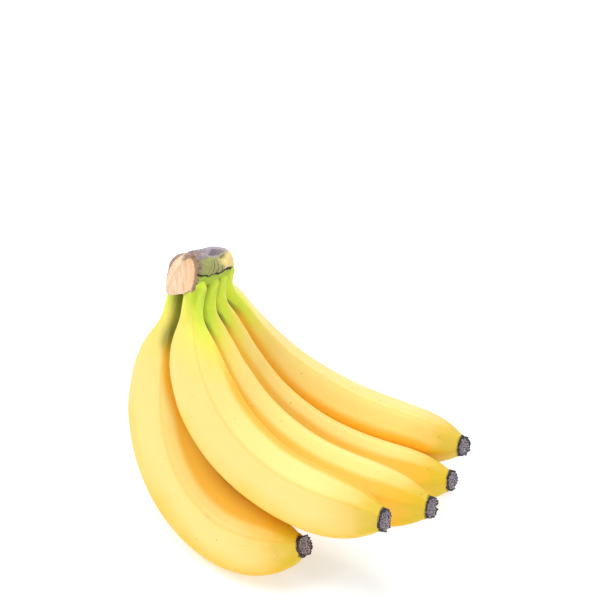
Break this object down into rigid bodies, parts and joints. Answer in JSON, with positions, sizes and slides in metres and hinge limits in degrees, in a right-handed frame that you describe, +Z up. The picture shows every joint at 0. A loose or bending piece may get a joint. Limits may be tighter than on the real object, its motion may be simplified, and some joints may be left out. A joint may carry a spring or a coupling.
{
  "type": "bunch of bananas",
  "caption": "Bunch of ripe yellow bananas curving from a cut brown crown, lying on their backs, with green-tinged necks and dry dark blossom ends.",
  "frame": {"origin": "the middle of the bounding box, on the surface that the bunch lies on", "axes": "+Z up; the blossom ends point mostly towards +X; the front row of fruit faces -Y"},
  "size_m": [0.2222, 0.18, 0.17],
  "materials": {
    "peel": "satin, with soft edges along each fruit",
    "dry_end": "rough and dry",
    "crown_cut": "fibrous, matt"
  },
  "bodies": {
    "root": {"crown": "crown_cut", "banana_1": "peel", "banana_2": "peel", "banana_3": "peel", "banana_4": "peel", "banana_5": "peel", "banana_6": "peel", "blossom_end_1": "dry_end", "blossom_end_2": "dry_end", "blossom_end_3": "dry_end", "blossom_end_4": "dry_end", "blossom_end_5": "dry_end", "blossom_end_6": "dry_end"}
  },
  "joints": []
}
